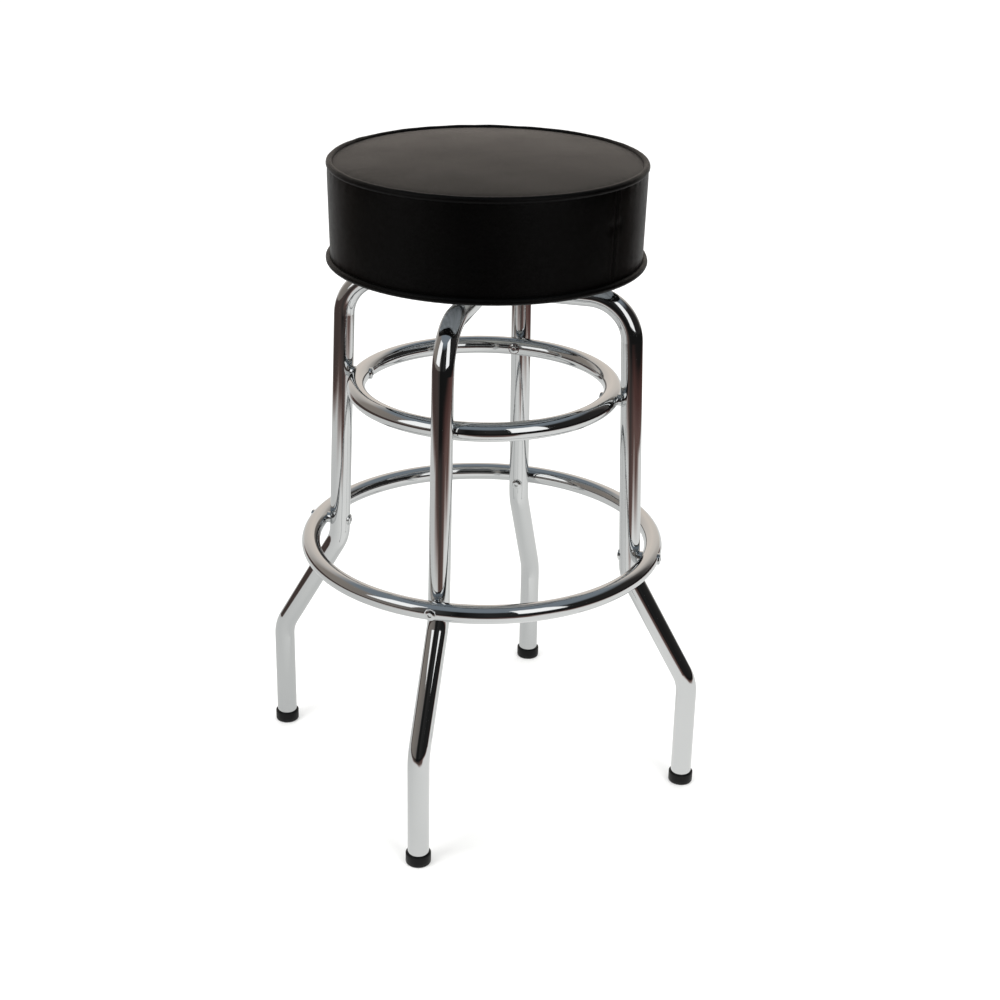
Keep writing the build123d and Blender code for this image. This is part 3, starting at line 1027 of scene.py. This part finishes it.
def buildWorld():
    world = bpy.data.worlds.new("studioRoom")
    bpy.context.scene.world = world
    tree = bareTree(world)
    turned = {
        "Vector": addNode(tree, "ShaderNodeTexCoord").outputs["Generated"],
        "Rotation": (0, 0, math.radians(-photoView["azimuth"])),
    }
    toward = addNode(tree, "ShaderNodeMapping", turned).outputs[0]
    axes = addNode(tree, "ShaderNodeSeparateXYZ", {0: toward}).outputs
    turn = mathNode(tree, "ARCTAN2", axes["X"], mathNode(tree, "MULTIPLY", axes["Y"], -1.0))
    share = mathNode(tree, "MULTIPLY_ADD", turn, 0.5 / math.pi, 0.5)
    walls = colorRamp(tree, share, {(degrees + 180) / 360: color for degrees, color in room["walls"].items()})
    around = mixColor(tree, rangeNode(tree, axes["Z"], *room["ceilingFrom"]), walls, room["ceiling"])
    mirrored = glowNode(tree, "ShaderNodeBackground", around, 1.0)
    plain = glowNode(tree, "ShaderNodeBackground", plainWhite, room["openLight"])
    white = glowNode(tree, "ShaderNodeBackground", plainWhite, 1.0)
    output = addNode(tree, "ShaderNodeOutputWorld")
    wire(tree, byRay(tree, plain, mirrored, white), output.inputs["Surface"])
    world.cycles.sampling_method = "NONE"


panels = {  # softboxes as the chrome mirrors them, turned by degrees from the camera to the right
    "leftPanel": {"azimuth": -54, "distance": 1.1, "width": 0.58, "bottom": 0.66, "top": 1.65},
    "rightPanel": {"azimuth": 34.5, "distance": 1.1, "width": 0.56, "bottom": 0.58, "top": 1.70},
}
panelGlow = 1.35


def buildPanels():
    material = bpy.data.materials.new("softboxCloth")
    tree = bareTree(material)
    material.cycles.emission_sampling = "NONE"
    glow = glowNode(tree, "ShaderNodeEmission", plainWhite, panelGlow)
    wire(tree, glow, addNode(tree, "ShaderNodeOutputMaterial").inputs["Surface"])
    for name, panel in panels.items():
        bm = bmesh.new()
        made = bmesh.ops.create_grid(bm, x_segments=1, y_segments=1, size=0.5)["verts"]
        bmesh.ops.scale(bm, verts=made, vec=(panel["width"], panel["top"] - panel["bottom"], 1))
        away = sideways(panel["azimuth"], 0)
        middle = away * panel["distance"] + Vector((0, 0, (panel["top"] + panel["bottom"]) / 2))
        turned = away.to_track_quat("Z", "Y").to_matrix().to_4x4()
        bmesh.ops.transform(bm, matrix=Matrix.Translation(middle) @ turned, verts=made)
        mesh = newMesh(bm, name)
        mesh.materials.append(material)
        obj = linkNew(name, mesh)
        obj.visible_camera = obj.visible_diffuse = obj.visible_shadow = False


paper = {  # directions in degrees from the camera to the right, their reach as cosines
    "half": 9.0,
    "color": (0.80, 0.80, 0.79),
    "lift": (0.22, 0.62),  # brings the floor up to white for the camera, near and far
    "liftFrom": (0.5, 2.4),
    "whiteFrom": 0.98,  # metres from the stool, towards the camera, where the white paper ends
    "fade": 1.25,
    "darkSide": (14, (0.2, 0.85)),
    "nearSide": (8, (0.90, 0.988)),  # where the dark comes nearest
    "nearShift": 0.34,
    "litLane": (36, (0.972, 0.992)),  # where the right panel keeps the floor light
    "laneShare": 0.55,
    "endFrom": (1.4, 1.75),  # where the paper ends on all sides but the back
    "backSide": (180, (0.55, 0.8)),
    "leftSide": (-105, (0.1, 0.45)),
    "leftEnd": 0.36,  # how far it darkens on the left
    "brightSide": (50, (-0.6, 0.9)),
    "bright": (0.98, 0.98, 0.965),
    "shaded": (0.74, 0.745, 0.735),
    "boards": {  # what is left of the white, by the share of the fade
        0.0: (1.0, 1.0, 1.0), 0.10: (0.46, 0.38, 0.36), 0.20: (0.14, 0.09, 0.08),
        0.45: (0.076, 0.062, 0.058), 0.66: (0.052, 0.044, 0.042), 0.90: (0.022, 0.020, 0.020),
        1.0: (0.012, 0.012, 0.012),
    },
    "brownSide": (90, (-0.05, 0.5)),
    "brown": (0.085, 0.036, 0.031),
    "brownFrom": (0.15, 0.4),  # share of the fade
    "brownTo": (1.80, 2.05),
}


def mirroredFloor(tree, point, reach):  # colour of the floor in the chrome, with painted light and shade across it
    def toward(side, near=0.0, full=1.0):
        azimuth, cosines = paper[side]
        product = vectorNode(tree, "DOT_PRODUCT", point, sideways(azimuth, 0))["Value"]
        return rangeNode(tree, mathNode(tree, "DIVIDE", product, reach), *cosines, near, full)

    def times(first, second):
        return mathNode(tree, "MULTIPLY", first, second)

    near = toward("nearSide", 0.0, paper["nearShift"])
    beyond = mathNode(tree, "SUBTRACT", mathNode(tree, "ADD", reach, near), paper["whiteFrom"])
    gone = times(rangeNode(tree, beyond, 0.0, paper["fade"]), toward("darkSide"))
    gone = times(gone, toward("litLane", 1.0, 1.0 - paper["laneShare"]))
    ended = times(rangeNode(tree, reach, *paper["endFrom"]), toward("backSide", 1.0, 0.0))
    ended = times(ended, toward("leftSide", 1.0, paper["leftEnd"]))
    gone = mathNode(tree, "MAXIMUM", gone, ended)
    # painted light and shade: the mirrored floor is brighter towards the right front and shaded on the far
    # side
    sheet = mixColor(tree, toward("brightSide"), paper["shaded"], paper["bright"])
    darkened = mixColor(tree, 1.0, sheet, colorRamp(tree, gone, paper["boards"]), "MULTIPLY")
    warmth = times(toward("brownSide"), rangeNode(tree, gone, *paper["brownFrom"]))
    warmth = times(warmth, rangeNode(tree, reach, *paper["brownTo"], 1.0, 0.0))
    return mixColor(tree, warmth, darkened, paper["brown"], "ADD")


def buildFloor():
    bm = bmesh.new()
    bmesh.ops.create_grid(bm, x_segments=1, y_segments=1, size=paper["half"])
    mesh = newMesh(bm, "studioFloor")
    floor = linkNew("studioFloor", mesh)
    material = bpy.data.materials.new("paperFloor")
    tree = bareTree(material)
    point = objectPoint(tree)
    reach = vectorNode(tree, "LENGTH", point)["Value"]
    plain = addNode(tree, "ShaderNodeBsdfDiffuse", {"Color": (*paper["color"], 1)}).outputs[0]
    raised = rangeNode(tree, reach, *paper["liftFrom"], *paper["lift"])
    lift = glowNode(tree, "ShaderNodeEmission", plainWhite, raised)
    white = addNode(tree, "ShaderNodeAddShader", {0: plain, 1: lift}).outputs[0]
    mirrored = glowNode(tree, "ShaderNodeEmission", mirroredFloor(tree, point, reach), 1.0)
    output = addNode(tree, "ShaderNodeOutputMaterial")
    wire(tree, byRay(tree, plain, mirrored, white), output.inputs["Surface"])
    mesh.materials.append(material)


lamps = {  # degrees from the camera to the right, degrees up, distance, size, watts
    "leftSoftbox": (-52, 38, 2.6, 1.3, 34),
    "rightSoftbox": (36, 40, 2.6, 1.2, 26),
    "overhead": (170, 78, 2.4, 1.8, 40),
}
lampAim = (0, 0, 0.4)


def buildLamps():
    for name, (azimuth, elevation, distance, size, watts) in lamps.items():
        data = bpy.data.lights.new(name, "AREA")
        data.shape = "SQUARE"
        data.size = size
        data.energy = watts
        lamp = linkNew(name, data)
        away = sideways(azimuth, elevation)
        lamp.location = Vector(lampAim) + away * distance
        lamp.rotation_mode = "QUATERNION"
        lamp.rotation_quaternion = away.to_track_quat("Z", "Y")
        lamp.visible_glossy = False


buildCamera()
buildWorld()
buildPanels()
buildFloor()
buildLamps()
bpy.context.scene.view_settings.view_transform = "Standard"
print("studio ready")
